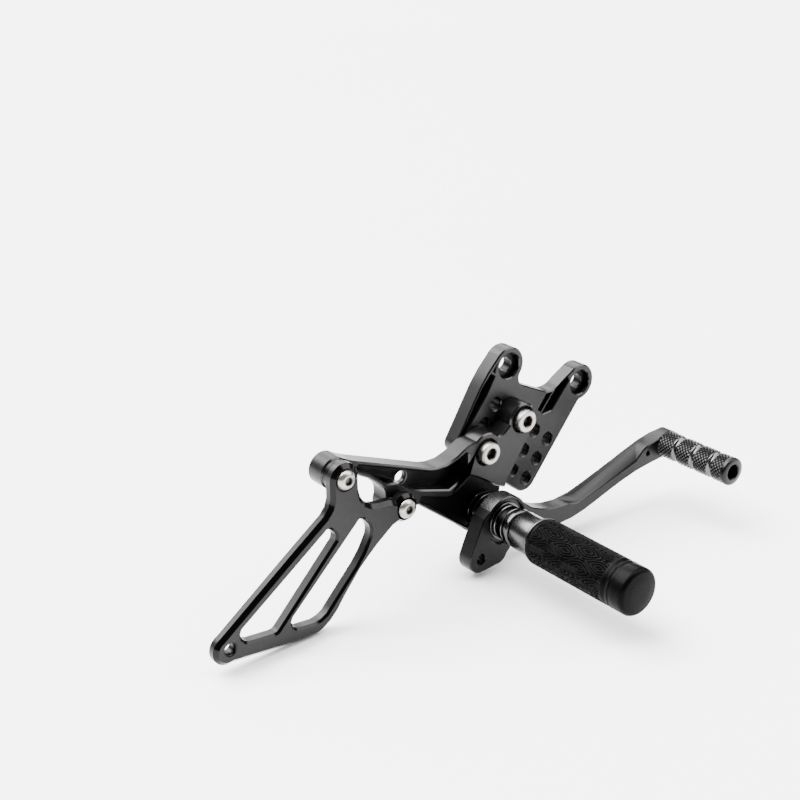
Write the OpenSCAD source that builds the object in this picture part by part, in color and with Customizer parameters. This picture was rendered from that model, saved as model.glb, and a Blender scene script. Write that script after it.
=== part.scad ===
// Right-hand rear set for a motorcycle: frame plate with a grid of threaded
// holes, peg hanger, skeleton heel guard, fixed foot peg with rubber sleeve and
// a brake lever that swings on the foot peg axis.
// Frame: X forward, Y inboard, Z up. The origin is the centre of the upper
// frame bolt hole, on the face that meets the motorcycle frame, so that face
// lies in the plane y = 0. Shapes are drawn in X and Z from the foot peg axis.

/* [Frame plate] */
// thickness of the frame plate
plate_t = 10; // [8:0.5:12]
// pitch of the hole grid, along and across
grid_p = 13; // [12:0.1:14]
// radius of the grid holes, tapped for an 8 mm bolt
grid_r = 4.02; // [3.4:0.01:4.2]
// radius of the lugs round the two frame bolts
lug_r = 10.8; // [9.5:0.1:11.5]
// radius of the clearance hole for a frame bolt
frame_bolt_r = 4.25; // [4.1:0.05:4.6]
// radius of the counterbore for a frame bolt head
frame_cbore_r = 7.4; // [7:0.1:8]
// depth of the counterbore in each lug
frame_cbore_d = 3.6; // [2:0.1:6]
// depth of the milled pockets in the frame plate
plate_pocket_d = 6.5; // [2:0.5:7.5]

/* [Hanger] */
// thickness of the hanger
hang_t = 12; // [10:0.5:14]
// depth of the long milled pocket in the hanger arm
arm_pocket_d = 8; // [4:0.5:9]
// depth of the step round the foot peg axis
hub_step_d = 4; // [2:0.5:6]
// radius of the hanger boss on the foot peg axis
hub_boss_r = 15.2; // [13:0.1:16]
// radius of the rear boss that carries the heel guard
guard_boss_r = 8.8; // [8:0.1:10]
// radius of the front boss that carries the heel guard
front_boss_r = 7.2; // [6.5:0.1:8]
// radius of the counterbores for the two hanger bolts
hang_cbore_r = 7.7; // [7:0.1:8]
// depth of the counterbores for the two hanger bolts
hang_cbore_d = 4; // [3:0.1:5]
// radius of the hole through the floor of the arm pocket
web_hole_r = 3.3; // [2.5:0.1:3.5]

/* [Heel guard] */
// thickness of the heel guard
guard_t = 6.5; // [5:0.1:8]
// length of the spacers between hanger and heel guard
guard_spacer_t = 3; // [2:0.1:5]
// radius of the hole at the rear tip of the heel guard
tip_hole_r = 3; // [2:0.1:3.5]
// radius of the two button heads
button_r = 5.5; // [5:0.1:6]

/* [Brake lever] */
// thickness of the brake lever
lever_t = 10; // [8:0.5:12]
// outer radius of the lever hub
lever_hub_r = 15; // [14:0.5:16]
// inner radius of the plain bush in the hub
bush_r = 8.05; // [8.02:0.01:8.1]
// radius of the eye in the tail of the lever
eye_r = 3.05; // [2.5:0.05:3.5]
// width of the bevel along the top of the lever arm, measured on its outboard face
arm_bevel_w = 3.4; // [2:0.1:4]
// depth that the same bevel reaches on the top of the arm
arm_bevel_d = 6; // [3:0.1:7]

/* [Foot peg] */
// radius of the turned collars
collar_r = 11.4; // [10.6:0.1:12.2]
// radius of the rubber sleeve
rubber_r = 13.2; // [13:0.1:14]
// radius of the bead at the outer end of the rubber
bead_r = 13.2; // [13:0.1:15]
// y coordinate of the outer end of the foot peg
peg_end_y = -141.5; // [-150:0.5:-130]

/* [Toe peg] */
// radius of the toe peg bands
toe_r = 8.3; // [7:0.1:9]
// length of the toe peg
toe_l = 51; // [45:1:56]
// radius of the bore in the end of the toe peg
toe_bore_r = 4.4; // [4:0.1:5]

/* [Hidden] */
$fn = 64;
plate_tilt = -40;
a0 = [19.2, 54.7];
hang_y = -plate_t;
hang_face_y = hang_y - hang_t;
step_y = hang_face_y + hub_step_d;
guard_y = hang_face_y - guard_spacer_t;
guard_face_y = guard_y - guard_t;
lever_y = -31;
lever_face_y = lever_y - lever_t;
recess_y = lever_face_y + 2;
toe_y = lever_face_y;
toe_end_y = toe_y - toe_l;
screw_a = [-99.5, 54.8];
screw_b = [-61.5, 25.5];
tip = [-173.6, -14.4];
toe_c = [127, 8];
web_hole = [-51.8, 34.2];
arm_top = [[19, 2.4], [26, -1], [34, -3.5], [44, -4.7], [55, -3.9], [67, -0.9], [84, 3.9],
           [100, 8.7], [112, 12], [122, 13.6]];
eye_c = [-18.4, -17];
sleeve_y = -68.8;
pin_c = [111.5, 6.3];

// hole grid to assembly coordinates, u along the rows and v across them
function place(u, v) = [a0[0] + u * cos(plate_tilt) - v * sin(plate_tilt),
                        a0[1] + u * sin(plate_tilt) + v * cos(plate_tilt)];
bolt_up = place(grid_p, 0);
bolt_low = place(0, -2 * grid_p);
lug_l = [-5.2, 22];
lug_rt = [53.3, 38];
// the foot peg axis seen from the origin
peg_axis = -place(lug_l[0], lug_l[1]);

// points on an arc
function arc(c, r, s, e, n = 10) = [for (i = [0 : n])
    [c[0] + r * cos(s + (e - s) * i / n), c[1] + r * sin(s + (e - s) * i / n)]];

// four corners of the straight part that joins two circles
function tangent(p, q, r, s) =
    let (d = q - p, l = norm(d), b = atan2(d[1], d[0]), a = acos((r - s) / l))
    [p + r * [cos(b + a), sin(b + a)], q + s * [cos(b + a), sin(b + a)],
     q + s * [cos(b - a), sin(b - a)], p + r * [cos(b - a), sin(b - a)]];

// flat shape that joins two circles with straight tangents
module bar2d(p, q, r, s) {
    translate(p) circle(r);
    translate(q) circle(s);
    polygon(tangent(p, q, r, s));
}

// children drawn along +Z are laid along -Y, at c from the foot peg axis
module at(c, y0) {
    translate([peg_axis[0] + c[0], y0, peg_axis[1] + c[1]]) rotate([90, 0, 0]) children();
}

// slab in the XZ plane, from y = y0 outboard by t
module slab(y0, t) {
    at([0, 0], y0) linear_extrude(t) children();
}

// round bar along Y, from y = y0 outboard by l
module pin(c, r, y0, l) {
    at(c, y0) cylinder(h = l, r = r);
}

// short cone along Y that breaks a hole edge on an outboard face
module sink(c, r, y0, d) {
    at(c, y0 + d) cylinder(h = d + 0.01, r1 = r, r2 = r + d);
}

// revolved profile along Y, profile points are [radius, distance outboard of y0]
module turned(y0, pts, c = [0, 0]) {
    at(c, y0) rotate_extrude($fn = 96) polygon(pts);
}

// ---------- frame plate ----------
module plate_outline() {
    translate(lug_l) circle(lug_r);
    translate(lug_rt) circle(lug_r);
    translate([-6.8, -29]) circle(5.8);
    translate([51.2, -26]) circle(8.8);
    polygon(concat(
        [[-15.9, 23.5], [-16.9, 12], [-16.6, 2], [-12.6, -29], [-6.8, -34.8],
         [51.2, -34.8], [60, -26], [60, 27]],
        arc([63.5, 28], 3.5, 195, 150, 4),
        [[62.5, 34.2], lug_rt, [43.6, 42.8]],
        arc([27.2, 33.6], 12.2, -8, -72, 8),
        arc([11, 23.2], 5.6, 285, 200, 8),
        [[4.6, 25.5], lug_l]));
}

module left_pocket() {
    polygon([[-14.6, 12.4], [-15.2, 3], [-11.6, -26.6], [-9.6, -26.6], [-9.6, 2], [-11.2, 12.6]]);
}

module left_pocket_small() {
    polygon([[-14.4, 19.6], [-14.3, 14.4], [-12.2, 14.4]]);
}

module right_pocket() {
    polygon([[42.6, 36.6], [44.2, 35.4], [43.4, 15], [38.6, 10.4], [37.4, 10.6], [37.9, 27.6]]);
}

module right_pocket_small() {
    polygon([[36.2, 24], [35.9, 10.8], [33, 10.8], [32.8, 21.2]]);
}

module frame_plate() {
    color([0.33, 0.33, 0.35])
    difference() {
        slab(0, plate_t) translate(a0) rotate(plate_tilt) difference() {
            plate_outline();
            for (i = [0 : 4], j = [0 : 2])
                translate([i * grid_p, -j * grid_p]) circle(grid_r);
            translate(lug_l) circle(frame_bolt_r);
            translate(lug_rt) circle(frame_bolt_r);
        }
        for (p = [lug_l, lug_rt])
            pin(place(p[0], p[1]), frame_cbore_r, -plate_t + frame_cbore_d, frame_cbore_d + 1);
        slab(-plate_t + plate_pocket_d, plate_pocket_d + 1)
            translate(a0) rotate(plate_tilt) {
                left_pocket();
                left_pocket_small();
                right_pocket();
                right_pocket_small();
            }
    }
}

// ---------- hanger ----------
// arm from the rear boss to the flange
module arm_outline() {
    polygon([[-97, 63.2], [-88, 58.4], [-38, 37.8], [-33, 36.6], [-26, 36.4], [-19, 38.4], [-10.5, 42.6],
             [-4.5, 43.2], bolt_low, [-8.6, 20], [-20, 18], [-45, 18.5], [-56, 18.6], screw_b,
             [-67.6, 27], [-67.7, 33.2], [-68.6, 35.7], [-70.9, 38.3], [-74.3, 41.4], [-78.8, 45.2],
             [-84.2, 48.4], [-90.4, 53.2], screw_a]);
}

// flange and web down to the foot peg axis
module web_outline() {
    polygon([bolt_low, [3.2, 45.8], [8.6, 41.2], [15.4, 42.4], [20.2, 46.4], bolt_up,
             [37.9, 42.4], [36.8, 39.4], [17, 11.6], [15.4, 4.4], [0, 0],
             [-9.2, -11.2], [-30, 5.6], [-45, 17.6], [-50, 20.5], [-20, 34]]);
}

module arm_pocket_outline() {
    polygon([[-84.5, 54.6], [-37.6, 35.4], [-33, 34.4], [-26, 34.2], [-18.6, 36.2], [-12.6, 38.6],
             [-10.6, 37.4], [-10.6, 25.4], [-17.4, 23.4], [-24.6, 20.6], [-43, 26.6], [-51, 29.4],
             [-56, 34], [-61.5, 37], [-66.4, 37.8], [-70.2, 41.1], [-78, 48], [-84.4, 51.7], [-86.8, 53.2]]);
}

module hub_step_outline() {
    polygon([[-47, 15.6], [-44, 22.4], [-24, 15.8], [-14.6, 19.4], [-9.4, 24.2], [-3.6, 20.9], [3, 16.4],
             [8.6, 12], [15.2, 8.8], [30, 0], [20, -30], [-20, -30]]);
}

module hanger() {
    color([0.29, 0.29, 0.31])
    difference() {
        union() {
            pin(screw_a, guard_boss_r, hang_y, hang_t);
            pin(screw_b, front_boss_r, hang_y, hang_t);
            pin(bolt_low, 11, hang_y, hang_t);
            pin(bolt_up, 9.6, hang_y, hang_t);
            pin([0, 0], hub_boss_r, hang_y, hang_t);
            slab(hang_y, hang_t) arm_outline();
            slab(hang_y, hang_t) web_outline();
        }
        for (p = [[0, 0], bolt_up, bolt_low]) pin(p, 4.25, hang_y + 1, hang_t + 2);
        for (p = [screw_a, screw_b]) pin(p, 3.02, hang_y + 1, hang_t + 2);
        pin(web_hole, web_hole_r, hang_y + 1, hang_t + 2);
        slab(hang_face_y + arm_pocket_d, arm_pocket_d + 1) arm_pocket_outline();
        difference() {
            slab(step_y, hub_step_d + 1) hub_step_outline();
            // thin rim kept along the lower edge
            slab(hang_face_y + hub_step_d + 1, hub_step_d + 3)
                polygon([[-48, 20], [-30, 5.6], [-9.2, -11.2], [-8.2, -10], [-29, 7.2], [-47, 21.6]]);
        }
        for (p = [bolt_up, bolt_low])
            pin(p, hang_cbore_r, hang_face_y + hang_cbore_d, hang_cbore_d + 1);
        sink(web_hole, web_hole_r, hang_face_y + arm_pocket_d, 0.6);
    }
}

// socket head cap screw along Y, head outboard, seated on y = seat_y
module cap_screw(c, seat_y, shank_r, shank_l, head_r, head_h, key_r) {
    difference() {
        union() {
            at(c, seat_y) cylinder(h = head_h - 0.6, r = head_r);
            at(c, seat_y - head_h + 0.6) cylinder(h = 0.6, r1 = head_r, r2 = head_r - 0.6);
            at(c, seat_y + shank_l) cylinder(h = shank_l, r = shank_r);
        }
        at(c, seat_y - head_h + 4.2) rotate([0, 0, 15]) cylinder(h = 4.3, r = key_r, $fn = 6);
    }
}

module hanger_bolt_upper() {
    color([0.72, 0.71, 0.68])
        cap_screw(bolt_up, hang_face_y + hang_cbore_d, 3.98, hang_t - hang_cbore_d + plate_t - 0.4, 6.5, 8, 3.45);
}

module hanger_bolt_lower() {
    color([0.72, 0.71, 0.68])
        cap_screw(bolt_low, hang_face_y + hang_cbore_d, 3.98, hang_t - hang_cbore_d + plate_t - 0.4, 6.5, 8, 3.45);
}

// ---------- heel guard ----------
module guard_outline() {
    translate(screw_a) circle(8.7);
    translate(screw_b) circle(8);
    translate(tip + [-0.8, -0.7]) circle(8.3);
    translate([-125, -18.3]) circle(9.4);
    polygon([[-108.2, 54.8], [-108.4, 46], [-110, 41.4], [-113.2, 37.6], [-136, 21.9], [-178.2, -7.8],
             tip, [-172.4, -23.1], [-138, -26.9], [-125.6, -27.7], [-120.4, -27.6], [-116.4, -26.2],
             [-111.8, -23.2], [-107.3, -18.8], [-102.4, -12.4], [-91.8, 0], [-85.8, 5.4], [-80.9, 9.6], [-70, 17.4], [-66.4, 18.6], [-61.6, 17.6], screw_b,
             [-67.2, 31.2], [-71.4, 33.2], [-78, 33.7], [-83.6, 35.1], [-87.6, 37.8], [-89.9, 41.6],
             [-90.9, 46], [-90.9, 53.4], screw_a]);
}

module slot_one() {
    polygon([[-113, 29.6], [-112, 30.5], [-110.4, 30.4], [-107.6, 27.6], [-106.6, 25.2], [-107.2, 22.4],
             [-144.4, -15], [-146, -16], [-148, -16.2], [-162, -14.6], [-164.4, -13.6], [-166.2, -11.6],
             [-166.9, -9], [-165.6, -6.4]]);
}

module slot_two() {
    polygon([[-92.4, 28.6], [-91.2, 29.5], [-89.6, 29], [-85.8, 24.4], [-84.9, 21], [-85.6, 17.4],
             [-90.2, 9.2], [-95, 3.2], [-112.2, -14.4], [-115, -17.4], [-118.6, -19.2], [-122.4, -20],
             [-133, -18.8], [-135.8, -17], [-136.6, -14], [-135.2, -11.4]]);
}

module heel_guard() {
    color([0.3, 0.3, 0.32])
    difference() {
        slab(guard_y, guard_t) difference() {
            guard_outline();
            slot_one();
            slot_two();
            translate(screw_a) circle(3.2);
            translate(screw_b) circle(3.2);
            translate(tip) circle(tip_hole_r);
        }
        sink(tip, tip_hole_r, guard_face_y, 0.8);
        for (p = [screw_a, screw_b]) pin(p, 6, guard_face_y + 0.8, 2);
    }
}

module guard_spacer(c, r) {
    difference() {
        pin(c, r, hang_face_y, guard_spacer_t);
        pin(c, 3.2, hang_face_y + 1, guard_spacer_t + 2);
    }
}

module heel_guard_spacer_rear() { color([0.2, 0.2, 0.21]) guard_spacer(screw_a, 8); }
module heel_guard_spacer_front() { color([0.2, 0.2, 0.21]) guard_spacer(screw_b, 7); }

// button head screw, head seated in the shallow recess of the guard
module button_screw(c) {
    seat = guard_face_y + 0.8;
    difference() {
        union() {
            turned(seat, [[0, 0], [button_r, 0], [button_r, 0.9], [button_r - 0.5, 1.9], [button_r - 1.5, 2.7],
                          [button_r - 2.6, 3.1], [0, 3.2]], c);
            pin(c, 2.98, hang_y - 0.5, hang_t - 0.5 + guard_spacer_t + guard_t - 0.7);
        }
        at(c, seat - 1.1) cylinder(h = 3, r = 2.3, $fn = 6);
    }
}

module heel_guard_screw_rear() { color([0.74, 0.73, 0.7]) button_screw(screw_a); }
module heel_guard_screw_front() { color([0.74, 0.73, 0.7]) button_screw(screw_b); }

// ---------- foot peg axis ----------
module peg_bolt() {
    color([0.72, 0.71, 0.68])
    difference() {
        union() {
            pin([0, 0], 6.5, hang_y + 1.6 + 8, 8);
            pin([0, 0], 3.98, hang_y + 1.7, 78);
        }
        at([0, 0], hang_y + 9.7) cylinder(h = 4.1, r = 3.45, $fn = 6);
    }
}

module peg_bolt_washer() {
    color([0.7, 0.7, 0.68])
        turned(hang_y + 1.6, [[4.3, 0], [8.2, 0], [8.2, 1.6], [4.3, 1.6]]);
}

module pivot_sleeve() {
    color([0.62, 0.62, 0.63])
        turned(step_y, [[4.3, 0], [8, 0], [8, step_y + 40.2], [4.3, step_y + 40.2]]);
}

module hub_spacer() {
    l = step_y + 29.8;
    color([0.24, 0.24, 0.25])
        turned(step_y, [[8.02, 0], [10.4, 0], [10.4, 2.4], [9.7, 2.8], [9.7, 3.6], [10.4, 4],
                        [10.4, 6.4], [9.7, 6.8], [9.7, 7.6], [10.4, 8], [10.4, l - 0.4], [10, l], [8.02, l]]);
}

module inner_thrust_washer() {
    color([0.7, 0.7, 0.68])
        turned(-29.8, [[8.1, 0], [11.8, 0], [11.8, 1], [8.1, 1]]);
}

module outer_thrust_washer() {
    color([0.7, 0.7, 0.68])
        turned(-39.2, [[8.1, 0], [11, 0], [11, 1], [8.1, 1]]);
}

module peg_adapter() {
    r = collar_r;
    color([0.3, 0.3, 0.32])
        turned(-40.2, [[4.3, 0], [r - 2.2, 0], [r - 1.6, 0.6], [r - 1.6, 1.6], [r - 2, 1.8], [r - 2, 2.4],
                       [r - 1.6, 2.6], [r - 1.6, 6.6], [r - 2.4, 7], [r - 2.4, 7.8], [r - 1.1, 8.2], [r - 0.7, 8.8],
                       [r - 0.7, 11.6], [r - 1.4, 12.4], [8.6, 12.4], [8.6, 13.8], [4.3, 13.8]]);
}

module peg_seal() {
    color([0.06, 0.06, 0.06])
        turned(-52.6, [[8.62, 0], [9.3, 0], [9.8, 0.5], [9.8, 0.9], [9.3, 1.4], [8.62, 1.4]]);
}

module peg_core() {
    r = collar_r;
    e = -54 - peg_end_y - 3.2;
    c = -54 - sleeve_y - 0.1;
    color([0.28, 0.28, 0.3])
        turned(-54, [[4.02, 0], [r - 1, 0], [r - 0.4, 0.6], [r - 0.4, c - 2.2], [r + 0.6, c - 1.2], [r + 0.6, c - 0.3],
                     [r + 0.3, c], [8.9, c], [8.9, e], [0, e], [0, 36], [4.02, 36]]);
}

module peg_rubber() {
    r = rubber_r;
    l = sleeve_y - peg_end_y;
    color([0.09, 0.09, 0.09])
        turned(sleeve_y, [[8.95, 0], [r - 1.4, 0], [r - 0.6, 0.8], [r, 2.2], [r, l - 15], [r - 0.5, l - 13.6], [r - 0.5, l - 12.2],
                       [bead_r - 0.5, l - 10.6], [bead_r, l - 8.4], [bead_r, l - 3.2], [bead_r - 0.5, l - 1.6],
                       [bead_r - 1.5, l - 0.5], [bead_r - 3, l], [0, l], [0, l - 3.15], [8.95, l - 3.15]]);
}

// ---------- brake lever ----------
module lever_tail_outline() {
    polygon([[-11.4, 9.8], [-16.2, 6.8], [-22.6, -6.2], [-25.8, -13.4], eye_c, [-17.6, -25.2],
             [-6, -24.5], [0.6, -19.6], [12, -9], [0, 0]]);
}

module lever_arm_outline() {
    polygon(concat(
        [[0, 0], [8.4, 12.4], [14, 6.6]], arm_top,
        arc([131.4, 6.8], 7.2, 84, -84, 10),
        [[122, -0.4], [112, -1.2], [102, -2.4], [92, -4.6], [82, -7.2], [72, -10.2], [60, -13.6], [50, -15.4], [42, -15.6],
         [33, -14.6], [24, -12.6], [14, -11.4], [8, -13]]));
}

// tilted cut that takes the upper outboard corner off the arm, with a long run-out
// towards the hub and a curved end at the toe
module arm_bevel() {
    intersection() {
        slab(lever_y - 1, lever_t + 1)
            polygon([[43.5, 4], [44.5, -3.9], [47.5, -5.2], [52.5, -6.3], [58, -7], [62, -10], [97, 1.6],
                     [101.2, 4.4], [104.4, 7.2], [107.6, 10], [112, 11.8], [117, 12.8], [117, 20], [43.5, 20]]);
        at([76, 1.6 - arm_bevel_w], lever_face_y) rotate([0, 0, 14])
            rotate([atan(arm_bevel_w / arm_bevel_d), 0, 0]) translate([-60, 0, -20]) cube([110, 30, 40]);
    }
}

module brake_lever() {
    color([0.42, 0.42, 0.43])
    difference() {
        union() {
            pin([0, 0], lever_hub_r, lever_y, lever_t);
            pin(eye_c, 8.2, lever_y, lever_t);
            pin([-6.4, -17.6], 7, lever_y, lever_t);
            slab(lever_y, lever_t) lever_tail_outline();
            slab(lever_y, lever_t) lever_arm_outline();
        }
        pin([0, 0], 10, lever_y + 1, lever_t + 2);
        pin(eye_c, eye_r, lever_y + 1, lever_t + 2);
        pin(toe_c, 2.52, lever_y + 1, lever_t + 2);
        pin([0, 0], 13, recess_y, 3);
        pin(pin_c, 1.6, lever_face_y + 4, 5);
        arm_bevel();
    }
}

module lever_bush() {
    color([0.66, 0.52, 0.3])
        turned(lever_y, [[bush_r, 0], [9.98, 0], [9.98, lever_t - 2], [bush_r, lever_t - 2]]);
}

module toe_peg() {
    w = (toe_l - 3 * 2.6 - 0.8) / 4;
    g = toe_r - 1.5;
    color([0.4, 0.4, 0.41])
        turned(toe_y, concat(
            [[2.6, 0], [toe_r - 0.4, 0], [toe_r, 0.4]],
            [for (k = [0 : 2]) each [[toe_r, 0.4 + (k + 1) * w + k * 2.6 - 0.2], [g, 0.4 + (k + 1) * w + k * 2.6 + 0.6],
                [g, 0.4 + (k + 1) * w + k * 2.6 + 2], [toe_r, 0.4 + (k + 1) * (w + 2.6) + 0.2]]],
            [[toe_r, toe_l - 0.8], [toe_r - 0.8, toe_l], [toe_bore_r + 0.4, toe_l], [toe_bore_r, toe_l - 0.4],
             [toe_bore_r, 9], [2.6, 9]]), toe_c);
}

module toe_peg_screw() {
    color([0.72, 0.71, 0.68])
        cap_screw(toe_c, toe_y - 9, 2.48, 18, 4.2, 5, 2.2);
}

// every piece, in the order of the list below

frame_plate();
hanger();
hanger_bolt_upper();
hanger_bolt_lower();
heel_guard();
heel_guard_spacer_rear();
heel_guard_spacer_front();
heel_guard_screw_rear();
heel_guard_screw_front();
peg_bolt();
peg_bolt_washer();
pivot_sleeve();
hub_spacer();
inner_thrust_washer();
outer_thrust_washer();
peg_adapter();
peg_seal();
peg_core();
peg_rubber();
brake_lever();
lever_bush();
toe_peg();
toe_peg_screw();
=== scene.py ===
import bpy
import bmesh
import math
from mathutils import Matrix, Vector


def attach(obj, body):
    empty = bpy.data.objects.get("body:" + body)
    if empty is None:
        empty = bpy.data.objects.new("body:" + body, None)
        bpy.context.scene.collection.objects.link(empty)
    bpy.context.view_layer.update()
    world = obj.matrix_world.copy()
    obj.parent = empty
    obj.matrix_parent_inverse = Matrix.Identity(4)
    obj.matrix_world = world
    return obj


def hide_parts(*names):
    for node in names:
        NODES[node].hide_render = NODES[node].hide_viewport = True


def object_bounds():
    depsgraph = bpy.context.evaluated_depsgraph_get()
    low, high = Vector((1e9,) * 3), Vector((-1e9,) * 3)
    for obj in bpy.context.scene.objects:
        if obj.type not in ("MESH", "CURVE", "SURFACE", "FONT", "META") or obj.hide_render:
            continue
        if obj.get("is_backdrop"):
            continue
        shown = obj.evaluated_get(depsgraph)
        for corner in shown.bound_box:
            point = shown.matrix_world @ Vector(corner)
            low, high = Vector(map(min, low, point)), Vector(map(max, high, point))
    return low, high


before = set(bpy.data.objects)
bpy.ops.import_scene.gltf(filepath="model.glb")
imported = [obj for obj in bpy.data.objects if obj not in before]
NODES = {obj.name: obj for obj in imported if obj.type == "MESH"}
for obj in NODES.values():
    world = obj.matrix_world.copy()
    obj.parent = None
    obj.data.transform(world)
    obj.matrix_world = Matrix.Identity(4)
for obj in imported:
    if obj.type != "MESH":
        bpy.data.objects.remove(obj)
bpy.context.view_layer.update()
MM = 0.001
# the foot peg axis seen from the row's origin, mm
PX, PZ = -29.357896, -74.895473


# ---------------------------------------------------------------- materials
class Nodes:
    def __init__(self, name, base, metallic, rough):
        self.m = bpy.data.materials.new(name)
        self.m.use_nodes = True
        self.nt = self.m.node_tree
        self.b = self.nt.nodes["Principled BSDF"]
        self.b.inputs["Base Color"].default_value = (*base, 1)
        self.b.inputs["Metallic"].default_value = metallic
        self.b.inputs["Roughness"].default_value = rough
        self.tc = self.nt.nodes.new("ShaderNodeTexCoord")

    def link(self, a, b):
        self.nt.links.new(a, b)

    def mapped(self, scale, rot=(0, 0, 0)):
        n = self.nt.nodes.new("ShaderNodeMapping")
        n.inputs["Scale"].default_value = scale
        n.inputs["Rotation"].default_value = rot
        self.link(self.tc.outputs["Object"], n.inputs["Vector"])
        return n.outputs["Vector"]

    def noise(self, vec, scale, detail=4.0, rough=0.55):
        n = self.nt.nodes.new("ShaderNodeTexNoise")
        n.inputs["Scale"].default_value = scale
        n.inputs["Detail"].default_value = detail
        n.inputs["Roughness"].default_value = rough
        self.link(vec, n.inputs["Vector"])
        return n.outputs["Fac"]

    def ramp(self, fac, stops):
        n = self.nt.nodes.new("ShaderNodeValToRGB")
        e = n.color_ramp.elements
        while len(e) < len(stops):
            e.new(0.5)
        for k, (p, c) in enumerate(stops):
            e[k].position = p
            e[k].color = (*c, 1) if len(c) == 3 else c
        self.link(fac, n.inputs["Fac"])
        return n.outputs["Color"]

    def range(self, fac, lo, hi, a=0.3, b=0.7):
        n = self.nt.nodes.new("ShaderNodeMapRange")
        n.inputs["From Min"].default_value = a
        n.inputs["From Max"].default_value = b
        n.inputs["To Min"].default_value = lo
        n.inputs["To Max"].default_value = hi
        self.link(fac, n.inputs["Value"])
        return n.outputs["Result"]

    def mix(self, fac, a, b, kind="MIX"):
        n = self.nt.nodes.new("ShaderNodeMix")
        n.data_type = "RGBA"
        n.blend_type = kind
        if isinstance(fac, float):
            n.inputs[0].default_value = fac
        else:
            self.link(fac, n.inputs[0])
        for s, v in ((6, a), (7, b)):
            if isinstance(v, tuple):
                n.inputs[s].default_value = (*v, 1)
            else:
                self.link(v, n.inputs[s])
        return n.outputs[2]

    def bump(self, height, strength, dist, prev=None):
        n = self.nt.nodes.new("ShaderNodeBump")
        n.inputs["Strength"].default_value = strength
        n.inputs["Distance"].default_value = dist
        self.link(height, n.inputs["Height"])
        if prev is not None:
            self.link(prev, n.inputs["Normal"])
        return n.outputs["Normal"]

    def done(self, color=None, rough=None, normal=None):
        if color is not None:
            self.link(color, self.b.inputs["Base Color"])
        if rough is not None:
            self.link(rough, self.b.inputs["Roughness"])
        if normal is not None:
            self.link(normal, self.b.inputs["Normal"])
        return self.m


def scaled(c, k):
    return tuple(min(1.0, v * k) for v in c)


def anodised(name, base, rough=0.38, vary=0.12, brush=(0.0, 0.0, 0.0), metallic=0.9):
    n = Nodes(name, base, metallic, rough)
    cloud = n.noise(n.mapped((1, 1, 1)), 38.0, 5.0)
    fine = n.noise(n.mapped((1, 1, 1)), 1500.0, 3.0)
    grit = n.noise(n.mapped((1, 1, 1)), 5200.0, 2.0)
    lay = n.noise(n.mapped((60.0, 2600.0, 2600.0), brush), 1.0, 3.0)
    col = n.ramp(cloud, [(0.28, scaled(base, 1 - vary)), (0.5, base), (0.74, scaled(base, 1 + vary))])
    col = n.mix(n.range(fine, 0.0, 0.22), col, scaled(base, 0.62))
    rgh = n.range(fine, rough - 0.05, rough + 0.07)
    nrm = n.bump(grit, 0.16, 0.00004)
    nrm = n.bump(lay, 0.1, 0.00004, nrm)
    return n.done(col, rgh, nrm)


def turned_metal(name, base, rough=0.2, metallic=1.0, rings=2400.0):
    n = Nodes(name, base, metallic, rough)
    cloud = n.noise(n.mapped((1, 1, 1)), 60.0, 4.0)
    lathe = n.noise(n.mapped((12.0, rings, 12.0)), 1.0, 3.0)
    fine = n.noise(n.mapped((1, 1, 1)), 1800.0, 3.0)
    col = n.ramp(cloud, [(0.3, scaled(base, 0.86)), (0.7, scaled(base, 1.12))])
    rgh = n.range(fine, rough - 0.04, rough + 0.08)
    nrm = n.bump(lathe, 0.22, 0.00003)
    return n.done(col, rgh, nrm)


def stainless(name, base=(0.62, 0.6, 0.555), rough=0.3):
    n = Nodes(name, base, 1.0, rough)
    cloud = n.noise(n.mapped((1, 1, 1)), 220.0, 4.0)
    fine = n.noise(n.mapped((1, 1, 1)), 2600.0, 3.0)
    stain = n.noise(n.mapped((1, 1, 1)), 520.0, 5.0, 0.65)
    col = n.ramp(cloud, [(0.3, scaled(base, 0.84)), (0.7, scaled(base, 1.1))])
    col = n.mix(n.range(stain, 0.0, 0.35, 0.55, 0.8), col, scaled(base, 0.55))
    rgh = n.range(fine, rough - 0.07, rough + 0.1)
    nrm = n.bump(fine, 0.2, 0.00004)
    return n.done(col, rgh, nrm)


def rubber(name, base=(0.0011, 0.0011, 0.0012), rough=0.34):
    n = Nodes(name, base, 0.0, rough)
    cloud = n.noise(n.mapped((1, 1, 1)), 90.0, 5.0)
    pores = n.noise(n.mapped((1, 1, 1)), 2600.0, 4.0)
    dust = n.noise(n.mapped((1, 1, 1)), 700.0, 6.0, 0.7)
    col = n.ramp(cloud, [(0.3, scaled(base, 0.7)), (0.7, scaled(base, 1.35))])
    col = n.mix(n.range(dust, 0.0, 0.2, 0.6, 0.85), col, (0.003, 0.003, 0.003))
    rgh = n.range(pores, rough - 0.08, rough + 0.12)
    nrm = n.bump(pores, 0.25, 0.00006)
    n.b.inputs["Specular IOR Level"].default_value = 0.028
    return n.done(col, rgh, nrm)


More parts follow.
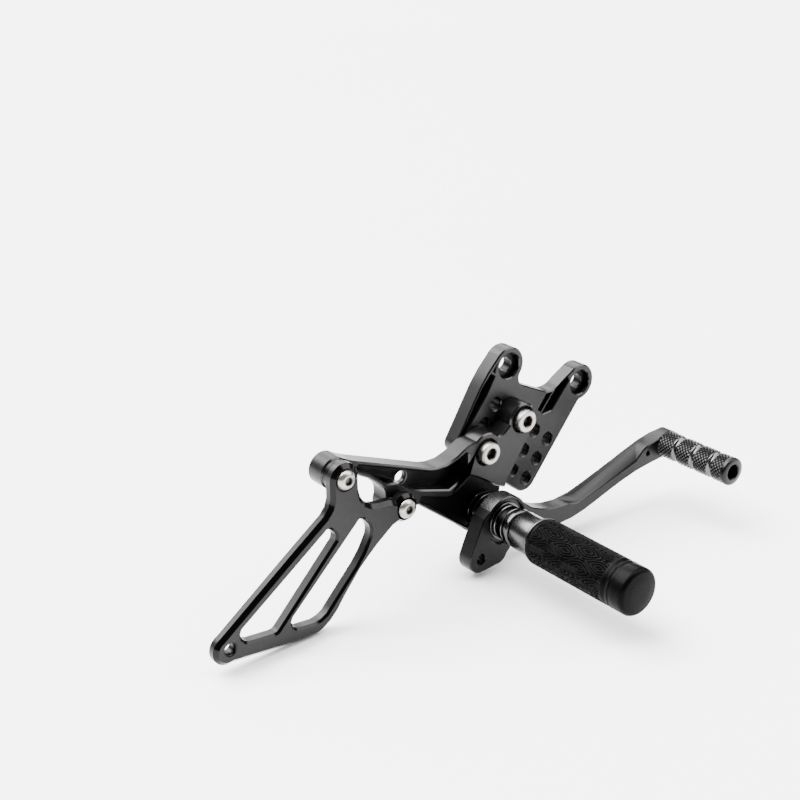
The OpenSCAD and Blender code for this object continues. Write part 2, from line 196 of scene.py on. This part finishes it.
M = {
    "plate": anodised("plate_anodised", (0.021, 0.0202, 0.0208)),
    # plate chamfers: a lighter, glossier copy of the plate anodising, painted highlight along the edges
    "plate_edge_highlight": anodised("plate_edge_painted_highlight", (0.035, 0.0342, 0.0347), 0.2, metallic=1.0),
    # plate pockets and holes: a near-black copy of the plate anodising, painted shade on pocket floors and hole
    # walls
    "plate_pocket_shade": anodised("plate_pocket_painted_shade", (0.006, 0.0058, 0.006), 0.36),
    "plate_wall": anodised("plate_wall_anodised", (0.021, 0.0202, 0.0207), 0.34),
    "hang": anodised("hanger_anodised", (0.0195, 0.0187, 0.0193)),
    # hanger chamfers: a lighter copy of the hanger anodising, painted highlight
    "hang_edge_highlight": anodised("hanger_edge_painted_highlight", (0.035, 0.0342, 0.0347), 0.2, metallic=1.0),
    # hanger recess: a near-black copy of the hanger anodising, painted shade on the recessed floor
    "hang_pocket_shade": anodised("hanger_pocket_painted_shade", (0.006, 0.0058, 0.006), 0.33),
    # hanger side walls: a darker copy of the hanger anodising, painted shade
    "hang_wall_shade": anodised("hanger_wall_painted_shade", (0.0165, 0.016, 0.0163), 0.34),
    "guard": anodised("guard_anodised", (0.0205, 0.0196, 0.0203), 0.4, 0.1, (0, 0.65, 0)),
    # heel guard chamfers: a darker, glossier copy of the guard anodising, painted dark reflection along the
    # bevels
    "guard_edge_dark_reflection": anodised("guard_edge_painted_dark_reflection", (0.014, 0.0137, 0.0139), 0.13, metallic=1.0),
    # heel guard side walls: a darker copy of the guard anodising, painted shade
    "guard_wall_shade": anodised("guard_wall_painted_shade", (0.0175, 0.0169, 0.0173), 0.34),
    "lever": anodised("lever_anodised", (0.0125, 0.012, 0.0124), 0.38, 0.1, (0, 0.1, 0)),
    # lever chamfers: a lighter copy of the lever anodising, painted highlight
    "lever_edge_highlight": anodised("lever_edge_painted_highlight", (0.024, 0.0234, 0.0238), 0.22, metallic=1.0),
    # lever side walls: a darker copy of the lever anodising, painted shade
    "lever_wall_shade": anodised("lever_wall_painted_shade", (0.0092, 0.0089, 0.0091), 0.34),
    # lever leaning faces: a lighter copy of the lever anodising, painted light
    "lever_bevel_lit": anodised("lever_bevel_painted_light", (0.0185, 0.0179, 0.0183), 0.36, 0.1, (0, 0.1, 0)),
    # lever hub outer wall: the same anodised metal made far brighter, painted highlight
    "hub_wall_highlight": turned_metal("lever_hub_painted_highlight", (0.15, 0.147, 0.149), 0.26),
    "collar": turned_metal("collar_black_chrome", (0.045, 0.044, 0.045), 0.16),
    # collar chamfers: a lighter copy of the dark collar metal, painted highlight
    "collar_edge_highlight": turned_metal("collar_edge_painted_highlight", (0.1, 0.098, 0.1), 0.2),
    "core": turned_metal("peg_core_anodised", (0.06, 0.0585, 0.06), 0.24),
    "spacer": turned_metal("spacer_black", (0.012, 0.012, 0.012), 0.28),
    "washer": turned_metal("washer_dark_steel", (0.07, 0.069, 0.07), 0.22),
    "toe": turned_metal("toe_peg_anodised", (0.085, 0.0835, 0.085), 0.28),
    # knurl valleys: a near-black copy of the toe peg metal, painted shade
    "toe_valley_shade": turned_metal("toe_peg_knurl_valley_painted_shade", (0.005, 0.0049, 0.005), 0.4),
    # toe peg grooves: a lighter copy of the toe peg metal, painted highlight
    "toe_groove_highlight": turned_metal("toe_groove_painted_highlight", (0.1, 0.0985, 0.1), 0.2),
    # toe peg smooth rings, chamfers and end face: a darker copy of the toe peg metal, painted shade
    "toe_end_shade": turned_metal("toe_peg_end_painted_shade", (0.018, 0.0177, 0.018), 0.3),
    # bores and the lever hub recess: a darker copy, painted shade inside the hole
    "bore_shade": turned_metal("toe_bore_painted_shade", (0.02, 0.02, 0.02), 0.35),
    "steel": stainless("stainless_plain", (0.34, 0.33, 0.305)),
    # hex sockets: a darker copy of the stainless, painted shade inside the key recess
    "steel_socket_shade": stainless("stainless_socket_painted_shade", (0.09, 0.084, 0.074), 0.36),
    "ground": turned_metal("ground_steel", (0.34, 0.34, 0.35), 0.22),
    "bronze": turned_metal("bronze_plain", (0.34, 0.23, 0.11), 0.3),
    "rubber": rubber("rubber_black"),
    "rubber_smooth": rubber("rubber_black_smooth", (0.0009, 0.0009, 0.00095), 0.32),
    "thread": turned_metal("thread_cut_metal", (0.014, 0.0138, 0.014), 0.3),
}


# ---------------------------------------------------------------- mesh tools
def finish_mesh(name, bm, mats, body, nodes, sharp=30.0, flat=None):
    for f in bm.faces:
        f.smooth = True
    for e in bm.edges:
        if len(e.link_faces) == 2:
            if e.calc_face_angle(0.0) > math.radians(sharp):
                e.smooth = False
        else:
            e.smooth = False
    if flat is not None:
        for f in bm.faces:
            if flat(f):
                f.smooth = False
    me = bpy.data.meshes.new(name)
    bm.to_mesh(me)
    bm.free()
    for k in mats:
        me.materials.append(M[k])
    o = bpy.data.objects.new(name, me)
    bpy.context.scene.collection.objects.link(o)
    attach(o, body)
    if nodes:
        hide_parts(*nodes)
    return o


def cad_bmesh(node):
    bm = bmesh.new()
    bm.from_mesh(NODES[node].data)
    bmesh.ops.remove_doubles(bm, verts=bm.verts[:], dist=3e-6)
    bmesh.ops.dissolve_limit(bm, angle_limit=math.radians(0.5), use_dissolve_boundaries=False,
                             verts=bm.verts[:], edges=bm.edges[:], delimit=set())
    bmesh.ops.recalc_face_normals(bm, faces=bm.faces[:])
    return bm


def chamfer(bm, width, keep=None, segments=1, angle=28.0, index=1):
    """Breaks every convex edge sharper than angle; keep(edge) False leaves one as it is."""
    edges = []
    for e in bm.edges:
        if len(e.link_faces) != 2:
            continue
        if e.calc_face_angle_signed(0.0) > math.radians(angle) and (keep is None or keep(e)):
            edges.append(e)
    if edges:
        bmesh.ops.bevel(bm, geom=edges, offset=width * MM, offset_type="OFFSET", segments=segments,
                        profile=0.5, affect="EDGES", clamp_overlap=False, material=index)
    return bm


def loop_chamfers(bm, width_of, angle=28.0, index=1, across=True):
    """Each connected loop of convex edges gets its own chamfer: width_of(lo, hi) in mm, from the loop's box.
    across False leaves the edges that run along Y as they are."""
    tag = bm.edges.layers.int.new("chamfer_width")
    bm.edges.index_update()
    todo = {e for e in bm.edges if len(e.link_faces) == 2 and e.calc_face_angle_signed(0.0) > math.radians(angle)}
    if not across:
        todo = {e for e in todo if abs(e.verts[0].co.y - e.verts[1].co.y) < 0.9 * e.calc_length()}
    widths = set()
    while todo:
        first = min(todo, key=lambda e: e.index)
        todo.discard(first)
        group, stack = [first], [first]
        while stack:
            e = stack.pop()
            for v in e.verts:
                for q in v.link_edges:
                    if q in todo:
                        todo.discard(q)
                        group.append(q)
                        stack.append(q)
        pts = [v.co / MM for e in group for v in e.verts]
        lo = Vector(min(p[k] for p in pts) for k in range(3))
        hi = Vector(max(p[k] for p in pts) for k in range(3))
        w = int(round(width_of(lo, hi) * 100))
        for e in group:
            e[tag] = w
        if w > 0:
            widths.add(w)
    for w in sorted(widths):
        tag = bm.edges.layers.int["chamfer_width"]
        edges = [e for e in bm.edges if e[tag] == w]
        bmesh.ops.bevel(bm, geom=edges, offset=w / 100 * MM, offset_type="OFFSET", segments=1,
                        profile=0.5, affect="EDGES", clamp_overlap=False, material=index)
    return bm


def milled(node, body, mats, width_of, levels=(), wall=None, hole_walls=(), angle=28.0, across=True, slope=None):
    """A chamfered copy of a milled node. levels: (y low, y high, material index) for faces that lie flat in Y.
    slope: the material index of a face that leans between a wall and a flat.
    hole_walls: (x, z, radius, material index) for the walls of holes, mm from the foot peg axis."""
    bm = cad_bmesh(node)
    bm.edges.index_update()
    for f in bm.faces:
        f.material_index = 0
        f.normal_update()
        c = f.calc_center_median() / MM
        if abs(f.normal.y) > 0.9:
            for lo, hi, k in levels:
                if lo <= c.y <= hi:
                    f.material_index = k
        elif wall is not None:
            f.material_index = wall
            for x, z, r, k in hole_walls:
                if math.hypot(c.x - PX - x, c.z - PZ - z) < r + 0.3:
                    f.material_index = k
            if slope is not None and abs(f.normal.y) > 0.25:
                f.material_index = slope
    loop_chamfers(bm, width_of, angle, 1, across)
    return finish_mesh(node + "_milled", bm, mats, body, [node])


def ring_mesh(bm, rows, n, mat_rows=None, close=True, c=(0.0, 0.0), turn=0.0):
    """Lathe about an axis along Y through c. rows: (radius or function of angle, y) in mm."""
    loops = []
    for r, y in rows:
        if not callable(r) and r < 1e-6:
            v = bm.verts.new(((PX + c[0]) * MM, y * MM, (PZ + c[1]) * MM))
            loops.append([v])
            continue
        loop = []
        for k in range(n):
            a = 2 * math.pi * k / n + turn
            rr, yy = (r(a, y) if callable(r) else r), y
            loop.append(bm.verts.new(((PX + c[0] + rr * math.cos(a)) * MM, yy * MM, (PZ + c[1] + rr * math.sin(a)) * MM)))
        loops.append(loop)
    count = len(loops) if close else len(loops) - 1
    for i in range(count):
        p, q = loops[i], loops[(i + 1) % len(loops)]
        mat = mat_rows[i] if mat_rows else 0
        if len(p) == 1 and len(q) == 1:
            continue
        for k in range(n):
            j = (k + 1) % n
            if len(p) == 1:
                f = bm.faces.new((p[0], q[k], q[j]))
            elif len(q) == 1:
                f = bm.faces.new((p[k], q[0], p[j]))
            else:
                f = bm.faces.new((p[k], q[k], q[j], p[j]))
            f.material_index = mat
    return bm


def hexagon(apothem, turn=0.0):
    def r(a, y):
        s = (a - turn) % (math.pi / 3) - math.pi / 6
        return apothem / math.cos(s)
    return r


# ---------------------------------------------------------------- milled parts
FP = -10.0
HG = -22.0
GF = -31.5
LF = -41.0


TILT = math.radians(-40)


def place(u, v):
    return (19.2 + u * math.cos(TILT) - v * math.sin(TILT), 54.7 + u * math.sin(TILT) + v * math.cos(TILT))


def span(lo, hi):
    return max(hi.x - lo.x, hi.z - lo.z)


def plate_chamfer(lo, hi):
    if span(lo, hi) > 60:
        return 0.7
    if span(lo, hi) < 9:
        return 0.35
    return 0.2 if span(lo, hi) < 13.5 else 0.5


def hanger_chamfer(lo, hi):
    return 0.8 if span(lo, hi) > 60 else 0.5


def guard_chamfer(lo, hi):
    if span(lo, hi) > 100:
        return 2.2 if hi.y < -30 else 0.8
    if span(lo, hi) > 20:
        return 1.3 if hi.y < -30 else 0.5
    return 0.4


def lever_chamfer(lo, hi):
    if span(lo, hi) > 60:
        return 0.6
    return 0.6 if span(lo, hi) > 20 else 0.35


GRID = [place(i * 13, -j * 13) for i in range(5) for j in range(3)]
LUGS = [place(-5.2, 22), place(53.3, 38)]
# plate: chamfers take the lighter copy (painted highlight); pocket floors (y -8 to -3) and the walls of the grid
# and lug holes take the near-black copy (painted shade)
milled("frame_plate", "carrier", ["plate", "plate_edge_highlight", "plate_pocket_shade", "plate_wall"], plate_chamfer,
       [(-8.0, -3.0, 2)], 3, [(x, z, 4.1, 2) for x, z in GRID] + [(x, z, 7.5, 2) for x, z in LUGS])
# hanger: chamfers take the lighter copy (painted highlight), the recessed floor at y -18.6 to -13.4 the
# near-black copy (painted shade), side walls the darker copy (painted shade)
milled("hanger", "carrier", ["hang", "hang_edge_highlight", "hang_pocket_shade", "hang_wall_shade"], hanger_chamfer,
       [(-18.6, -13.4, 2)], 3)
# heel guard: chamfers take the darker copy (painted dark reflection), side walls the darker wall copy (painted
# shade)
milled("heel_guard", "carrier", ["guard", "guard_edge_dark_reflection", "guard", "guard_wall_shade"], guard_chamfer,
       [], 3, (), 28.0, False)
# lever: chamfers take the lighter copy (painted highlight), side walls the darker copy (painted shade), leaning
# faces the lighter copy (painted light); the hub's outer wall takes the bright copy (painted highlight), and the
# hub recess floor and wall and the pivot bore take the bore material (painted shade)
milled("brake_lever", "lever", ["lever", "lever_edge_highlight", "lever", "lever_wall_shade", "bore_shade", "hub_wall_highlight", "lever_bevel_lit"], lever_chamfer,
       [(-39.5, -38.5, 4)], 3, [(0.0, 0.0, 15.1, 5), (0.0, 0.0, 13.1, 4)], 36.0, False, 6)


# ---------------------------------------------------------------- turned parts
def turned_copy(node, body, mats, width, segments=1, angle=28.0):
    bm = cad_bmesh(node)
    for f in bm.faces:
        f.material_index = 0
    chamfer(bm, width, None, segments, angle)
    return finish_mesh(node + "_turned", bm, mats, body, [node])


turned_copy("hub_spacer", "carrier", ["spacer", "collar"], 0.15)
turned_copy("heel_guard_spacer_rear", "carrier", ["spacer", "collar"], 0.3)
turned_copy("heel_guard_spacer_front", "carrier", ["spacer", "collar"], 0.3)
turned_copy("inner_thrust_washer", "carrier", ["washer", "washer"], 0.15)
turned_copy("outer_thrust_washer", "carrier", ["washer", "washer"], 0.15)
turned_copy("peg_bolt_washer", "carrier", ["steel", "steel"], 0.2)
turned_copy("pivot_sleeve", "carrier", ["ground", "ground"], 0.2)
turned_copy("lever_bush", "lever", ["bronze", "bronze"], 0.2)
turned_copy("peg_seal", "carrier", ["rubber_smooth", "rubber_smooth"], 0.15)
# adapter and core chamfers take the lighter edge copy of the collar metal: painted highlight
turned_copy("peg_adapter", "carrier", ["collar", "collar_edge_highlight"], 0.2)
turned_copy("peg_core", "carrier", ["core", "collar_edge_highlight"], 0.2)


# ---------------------------------------------------------------- screws
def screw_rows(seat, d, head_r, head_h, key, key_depth, shank_r, shank_l, teeth=0, pitch=1.25):
    """Rows of a socket head screw: d is -1 for a head that faces -Y. Returns rows and their materials."""
    def knurled(a, y):
        s = (a * teeth / (2 * math.pi)) % 1.0
        return head_r - 0.16 * abs(2 * s - 1) if teeth else head_r
    side = knurled if teeth else head_r
    hx = hexagon(key)
    top = seat + d * head_h
    rows, mats = [], []

    def add(r, y, m=0):
        rows.append((r, y))
        mats.append(m)
    # shank end, threads cut as rings on a fine helix would show from the end only
    end = seat - d * shank_l
    add(0.0, end)
    add(shank_r - 0.9, end)
    add(shank_r - 0.15, end + d * 0.8)
    y = end + d * 1.0
    stop = seat - d * 0.6
    k = 0
    while (stop - y) * d > 0 and k < 70:
        add(shank_r - 0.02, y)
        add(shank_r - 0.62, y + d * pitch * 0.42)
        add(shank_r - 0.62, y + d * pitch * 0.55)
        y += d * pitch
        k += 1
    add(shank_r - 0.02, seat - d * 0.3)
    add(shank_r - 0.02, seat)
    add(head_r - 0.35, seat)
    add(head_r - 0.05 if not teeth else head_r - 0.16, seat + d * 0.35)
    add(side, seat + d * 0.7)
    add(side, top - d * 1.0)
    add(head_r - 0.1 if not teeth else head_r - 0.16, top - d * 0.72)
    add(head_r - 0.45, top - d * 0.22)
    add(head_r - 0.95, top)
    add(key * 1.2 + 0.25, top, 0)
    # the socket rows take material 1, the darker stainless copy: painted shade in the hex recess
    add(key * 1.2, top - d * 0.12, 1)
    add(hx, top - d * 0.55, 1)
    add(hx, top - d * key_depth, 1)
    add(key * 0.55, top - d * (key_depth + 0.25), 1)
    add(0.0, top - d * (key_depth + 0.75), 1)
    return rows, mats


def socket_screw(node, body, c, seat, d, head_r, head_h, key, key_depth, shank_r, shank_l, teeth=44, n=176, turn=0.0, pitch=1.25):
    bm = bmesh.new()
    rows, mats = screw_rows(seat, d, head_r, head_h, key, key_depth, shank_r, shank_l, teeth, pitch)
    ring_mesh(bm, rows, n, mats, False, c, turn)
    bmesh.ops.recalc_face_normals(bm, faces=bm.faces[:])
    return finish_mesh(node + "_screw", bm, ["steel", "steel_socket_shade"], body, [node], 26.0)


BOLT_UP, BOLT_LOW = place(13, 0), place(0, -26)
socket_screw("hanger_bolt_upper", "carrier", BOLT_UP, -18.0, -1, 6.5, 8.0, 3.0, 4.2, 3.98, 17.6, turn=0.2)
socket_screw("hanger_bolt_lower", "carrier", BOLT_LOW, -18.0, -1, 6.5, 8.0, 3.0, 4.2, 3.98, 17.6, turn=0.55)
socket_screw("peg_bolt", "carrier", (0.0, 0.0), -8.4, 1, 6.5, 8.0, 3.0, 4.2, 3.98, 77.9, turn=0.35)
socket_screw("toe_peg_screw", "lever", (127.0, 8.0), -50.0, -1, 4.2, 5.0, 2.0, 2.6, 2.48, 18.0, 36, 144, 0.1, 0.8)


def button_screw(node, c, turn):
    seat = GF + 0.8
    hx = hexagon(2.0)
    rows, mats = [], []

    def add(r, y, m=0):
        rows.append((r, y))
        mats.append(m)
    end = -10.6
    add(0.0, end)
    add(2.1, end)
    add(2.8, end - 0.7)
    y = end - 0.9
    while y > seat + 1.2:
        add(2.96, y)
        add(2.5, y - 0.42)
        add(2.5, y - 0.55)
        y -= 1.0
    add(2.96, seat + 0.2)
    add(2.96, seat)
    add(5.25, seat)
    add(5.5, seat - 0.25)
    for k in range(9):
        t = k / 8.0
        a = t * math.radians(64)
        add(1.95 + 3.55 * math.cos(a) * (1 - 0.12 * t), seat - 0.45 - 2.72 * math.sin(a) / math.sin(math.radians(64)), 0)
    # the socket rows take material 1, the darker stainless copy: painted shade in the hex recess
    add(2.5, seat - 3.19, 1)
    add(hx, seat - 2.9, 1)
    add(hx, seat - 1.15, 1)
    add(1.0, seat - 0.95, 1)
    add(0.0, seat - 0.7, 1)
    bm = bmesh.new()
    ring_mesh(bm, rows, 96, mats, False, c, turn)
    bmesh.ops.recalc_face_normals(bm, faces=bm.faces[:])
    return finish_mesh(node + "_button", bm, ["steel", "steel_socket_shade"], "carrier", [node], 28.0)


button_screw("heel_guard_screw_rear", (-99.5, 54.8), 0.3)
button_screw("heel_guard_screw_front", (-61.5, 25.5), 0.75)


# ---------------------------------------------------------------- threads in the open grid holes
def thread_insert(bm, c, r_root, r_crest, y0, y1, pitch=1.25, per=28):
    """The flanks of an internal thread: a strip that winds along the hole wall."""
    turns = (y0 - y1) / pitch
    steps = int(turns * per)
    prev = None
    for k in range(steps + 1):
        a = 2 * math.pi * k / per
        y = y0 - pitch * k / per
        fade = min(1.0, k / 6.0, (steps - k) / 6.0)
        rc = r_root - (r_root - r_crest) * fade
        row = []
        for r, dy in ((r_root, 0.0), (rc, 0.42), (rc, 0.58), (r_root, 1.0)):
            row.append(bm.verts.new(((PX + c[0] + r * math.cos(a)) * MM, (y - dy * pitch) * MM, (PZ + c[1] + r * math.sin(a)) * MM)))
        if prev:
            for q in range(3):
                bm.faces.new((prev[q], row[q], row[q + 1], prev[q + 1]))
        prev = row


bm = bmesh.new()
for i in range(5):
    for j in range(3):
        if (i, j) in ((1, 0), (0, 2)):
            continue
        thread_insert(bm, place(i * 13, -j * 13), 4.0, 3.42, -0.7, -8.2)
bmesh.ops.recalc_face_normals(bm, faces=bm.faces[:])
finish_mesh("frame_plate_threads", bm, ["thread"], "carrier", [], 40.0)


# ---------------------------------------------------------------- rubber sleeve
R0, BEAD = 13.2, 13.2
Y0, Y1 = -68.8, -141.5
PAT0, PAT1 = -71.6, -125.7
CELLS = 8
CELL_A = 2 * math.pi * R0 / CELLS
CELL_Y = 12.4


def smooth(t):
    t = max(0.0, min(1.0, t))
    return t * t * (3 - 2 * t)


def sleeve_height(a, y):
    """0 at the bottom of a groove, 1 on top of a rib: ribs curve round staggered lozenges."""
    s = a * R0
    v = (PAT0 - y) / CELL_Y
    best = 9.0
    base = math.floor(v)
    for row in (base - 1, base, base + 1, base + 2):
        off = 0.5 * (row % 2)
        u = s / CELL_A - off
        du = abs(u - round(u)) * 2.0
        dv = abs(v - row)
        d = (du ** 1.35 + dv ** 1.35) ** (1 / 1.35)
        best = min(best, d)
    ribs = smooth(0.62 + 0.62 * math.cos(2 * math.pi * best * 4.0))
    edge = smooth((best - 0.9) / 0.1)
    return max(ribs, edge * 0.9)


def sleeve():
    n = 336
    rows, mats = [], []

    def add(r, y, m=1):
        rows.append((r, y))
        mats.append(m)

    def grooved(a, y):
        fade = smooth((PAT0 - y) / 1.6) * smooth((y - PAT1) / 1.6)
        return R0 - 0.8 * fade * (1 - sleeve_height(a, y))
    l = Y0 - Y1
    add(8.95, Y0)
    add(R0 - 1.4, Y0)
    add(R0 - 0.95, Y0 - 0.25)
    add(R0 - 0.6, Y0 - 0.8)
    add(R0 - 0.2, Y0 - 1.5)
    add(R0, Y0 - 2.4)
    y = PAT0
    step = 0.262
    while y > PAT1:
        add(grooved, y, 0)
        y -= step
    add(R0, PAT1, 1)
    add(R0 - 0.05, Y0 - (l - 15), 1)
    add(R0 - 0.45, Y0 - (l - 14.2))
    add(R0 - 0.62, Y0 - (l - 13.4))
    add(R0 - 0.5, Y0 - (l - 12.5))
    add(R0 + 0.05, Y0 - (l - 11.5))
    add(BEAD - 0.35, Y0 - (l - 10.5))
    add(BEAD - 0.05, Y0 - (l - 9.3))
    add(BEAD, Y0 - (l - 8.2))
    add(BEAD, Y0 - (l - 4.0))
    for k in range(1, 9):
        a = k / 8.0 * math.pi / 2
        add(BEAD - 2.6 + 2.6 * math.cos(a), Y0 - (l - 3.4 + 2.7 * math.sin(a)))
    add(BEAD - 4.5, Y0 - (l - 0.35))
    add(BEAD - 7.0, Y0 - (l - 0.12))
    add(BEAD - 10.5, Y0 - (l - 0.02))
    add(0.0, Y0 - l)
    add(0.0, Y0 - (l - 3.15))
    add(8.95, Y0 - (l - 3.15))
    bm = bmesh.new()
    ring_mesh(bm, rows, n, mats, True)
    bmesh.ops.recalc_face_normals(bm, faces=bm.faces[:])
    return finish_mesh("peg_rubber_sleeve", bm, ["rubber", "rubber_smooth"], "carrier", ["peg_rubber"], 50.0)


sleeve()


# ---------------------------------------------------------------- knurled toe peg
def toe_peg():
    T = 22
    per = 8
    n = T * per
    R, L = 8.3, 51.0
    y_in = LF
    g = 2.9
    w = (L - 3 * g - 0.8) / 4
    py = 2.3
    amp = 0.75
    rows, mats = [], []

    # rows default to material 1, the darker copy of the peg metal: painted shade on the smooth rings, chamfers
    # and end face
    def add(r, y, m=1):
        rows.append((r, y_in - y))
        mats.append(m)

    def knurl(a, y):
        t = a * T / (2 * math.pi)
        v = (y_in - y) / py
        p, q = (t + v) % 1.0, (t - v) % 1.0
        h = min(1 - abs(2 * p - 1), 1 - abs(2 * q - 1))
        return R - amp * (1 - min(1.0, h * 1.25))
    add(2.6, 0.0)
    add(R - 0.75, 0.0)
    add(R - 0.15, 0.5)
    for k in range(4):
        a0 = 0.4 + k * (w + g)
        end = a0 + w - (2.6 if k == 3 else 0.0)
        add(R - 0.55, a0 + 0.35)
        y = math.ceil((a0 + 0.5) / (py / per)) * (py / per)
        first = True
        while y < end - 0.5:
            add(knurl, y, 0)
            y += py / per
        add(R - 0.55, end - 0.3)
        if k < 3:
            # round-bottomed groove between two bands; its rows take material 3, a lighter copy of the peg metal:
            # painted highlight
            for s in range(13):
                t = s / 12.0
                depth = 1.75 * math.sin(math.pi * t) ** 0.7 if 0 < t < 1 else 0.6
                add(R - max(0.6, depth), end - 0.1 + t * (g + 0.2), 3)
        else:
            add(R - 0.1, end - 0.05)
            add(R, end + 0.3)
            add(R, L - 1.0)
            add(R - 0.3, L - 0.4)
            add(R - 0.9, L)
    add(4.9, L)
    add(4.45, L - 0.45)
    # the bore rows take material 2: painted shade inside the bore
    add(4.4, L - 0.9, 2)
    add(4.4, 9.05, 2)
    add(2.6, 9.0, 2)
    bm = bmesh.new()
    ring_mesh(bm, rows, n, mats, True, (127.0, 8.0))
    bmesh.ops.recalc_face_normals(bm, faces=bm.faces[:])
    # knurl faces below the crest band take material 4, the near-black copy: painted shade in the valleys
    for f in bm.faces:
        if f.material_index == 0:
            c = f.calc_center_median() / MM
            if math.hypot(c.x - PX - 127.0, c.z - PZ - 8.0) < R - 0.68 * amp:
                f.material_index = 4
    return finish_mesh("toe_peg_knurled", bm, ["toe", "toe_end_shade", "bore_shade", "toe_groove_highlight", "toe_valley_shade"], "lever", ["toe_peg"], 34.0,
                       lambda f: f.material_index in (0, 4))


toe_peg()


# ---------------------------------------------------------------- floor, light, camera
def floor():
    lo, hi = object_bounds()
    bm = bmesh.new()
    z = lo.z - 0.0004
    vs = [bm.verts.new(p) for p in ((-9, -9, z), (9, -9, z), (9, 9, z), (-9, 9, z))]
    bm.faces.new(vs)
    me = bpy.data.meshes.new("floor")
    bm.to_mesh(me)
    bm.free()
    n = Nodes("floor_white", (0.9, 0.9, 0.9), 0.0, 0.55)
    soft = n.noise(n.mapped((1, 1, 1)), 3.0, 3.0)
    col = n.ramp(soft, [(0.3, (0.885, 0.885, 0.885)), (0.7, (0.905, 0.905, 0.905))])
    me.materials.append(n.done(col))
    o = bpy.data.objects.new("floor", me)
    bpy.context.scene.collection.objects.link(o)
    o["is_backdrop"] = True


floor()

world = bpy.data.worlds.new("studio")
bpy.context.scene.world = world
world.use_nodes = True
bg = world.node_tree.nodes["Background"]
bg.inputs["Color"].default_value = (1.0, 1.0, 1.0, 1)
bg.inputs["Strength"].default_value = 0.3


def soft_sun(name, towards, strength, angle):
    """A wide disc of light far away, so that the floor is lit evenly; towards points at the light."""
    d = bpy.data.lights.new(name, "SUN")
    d.energy = strength
    d.angle = math.radians(angle)
    o = bpy.data.objects.new(name, d)
    o.rotation_mode = "QUATERNION"
    o.rotation_quaternion = Vector(towards).to_track_quat("Z", "Y")
    bpy.context.scene.collection.objects.link(o)
    return o


soft_sun("key", (-0.3, 0.42, 0.86), 15.0, 52)
soft_sun("fill", (0.62, -0.36, 0.7), 4.5, 48)
soft_sun("back", (0.3, 0.76, 0.58), 5.0, 56)
soft_sun("overhead", (0.16, -0.06, 0.98), 3.0, 36)

cam_data = bpy.data.cameras.new("camera")
cam_data.sensor_width = 36.0
cam_data.lens = 67.5
cam_data.clip_start = 0.05
cam_data.clip_end = 50
cam = bpy.data.objects.new("camera", cam_data)
bpy.context.scene.collection.objects.link(cam)
X, Y, Z = (0.78754, -0.61571, -0.02579), (0.26616, 0.30211, 0.91534), (-0.5558, -0.72775, 0.40181)
rot = Matrix(((X[0], Y[0], Z[0]), (X[1], Y[1], Z[1]), (X[2], Y[2], Z[2])))
cam.rotation_mode = "QUATERNION"
cam.rotation_quaternion = rot.to_quaternion()
cam.location = (-0.48655 + PX * MM, -0.58459, 0.39397 + PZ * MM)
bpy.context.scene.camera = cam
